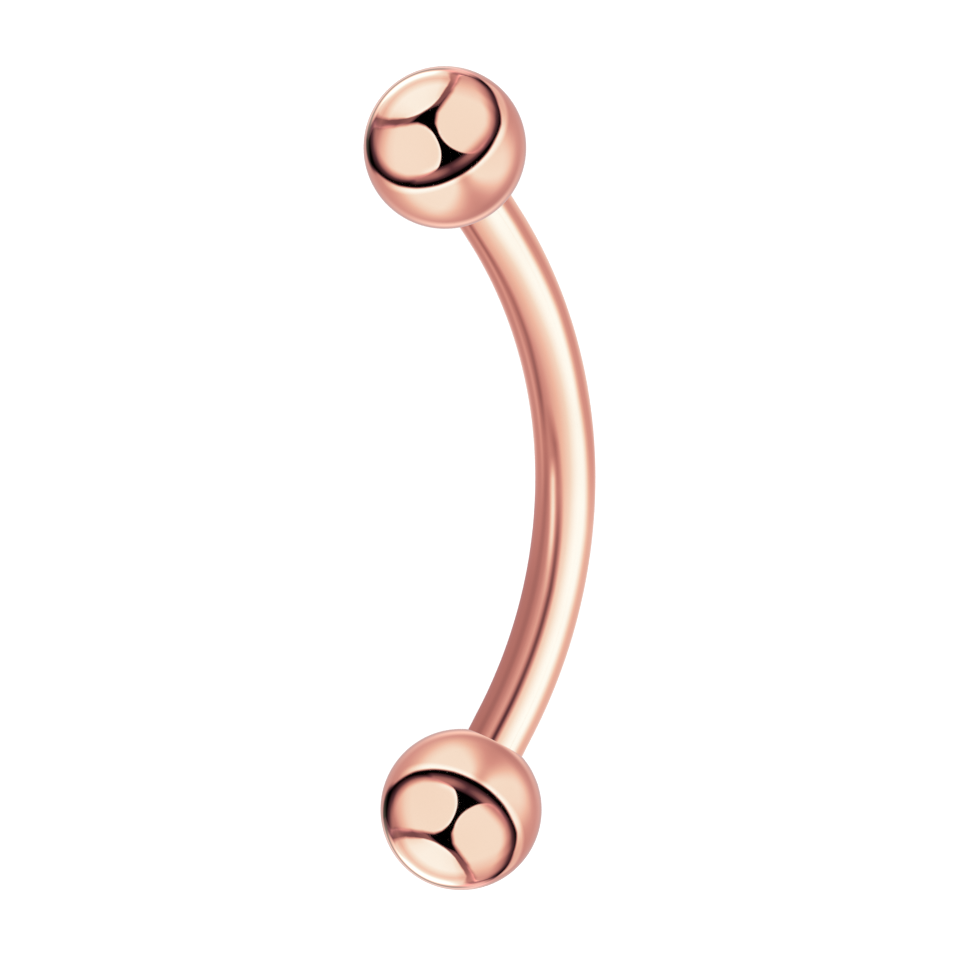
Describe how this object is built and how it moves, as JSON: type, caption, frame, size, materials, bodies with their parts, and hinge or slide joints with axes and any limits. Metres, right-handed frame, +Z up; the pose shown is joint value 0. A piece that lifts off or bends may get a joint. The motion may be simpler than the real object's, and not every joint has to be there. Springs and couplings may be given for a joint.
{
  "type": "eyebrow barbell",
  "caption": "Curved barbell for an eyebrow piercing: a bent round bar with a ball screwed on each threaded end.",
  "frame": {"origin": "on the table that it rests on, in the middle of its outline seen from above", "axes": "+Z up from the table, +Y from the lower ball to the upper ball, +X towards the bulge of the bow"},
  "size_m": [0.0046, 0.0164, 0.0032],
  "materials": {
    "rose_gold_bar": "polished",
    "rose_gold_ball": "polished"
  },
  "bodies": {
    "bar": {"bar": "rose_gold_bar"},
    "upper_ball": {"upper_ball": "rose_gold_ball"},
    "lower_ball": {"lower_ball": "rose_gold_ball"}
  },
  "joints": [
    {"name": "unscrew_upper_ball", "type": "slide", "parent": "bar", "child": "upper_ball", "axis": [-0.5011, 0.8387, 0.2134], "range_m": [0, 0.003]},
    {"name": "unscrew_lower_ball", "type": "slide", "parent": "bar", "child": "lower_ball", "axis": [-0.5011, -0.8387, 0.2134], "range_m": [0, 0.003]}
  ]
}
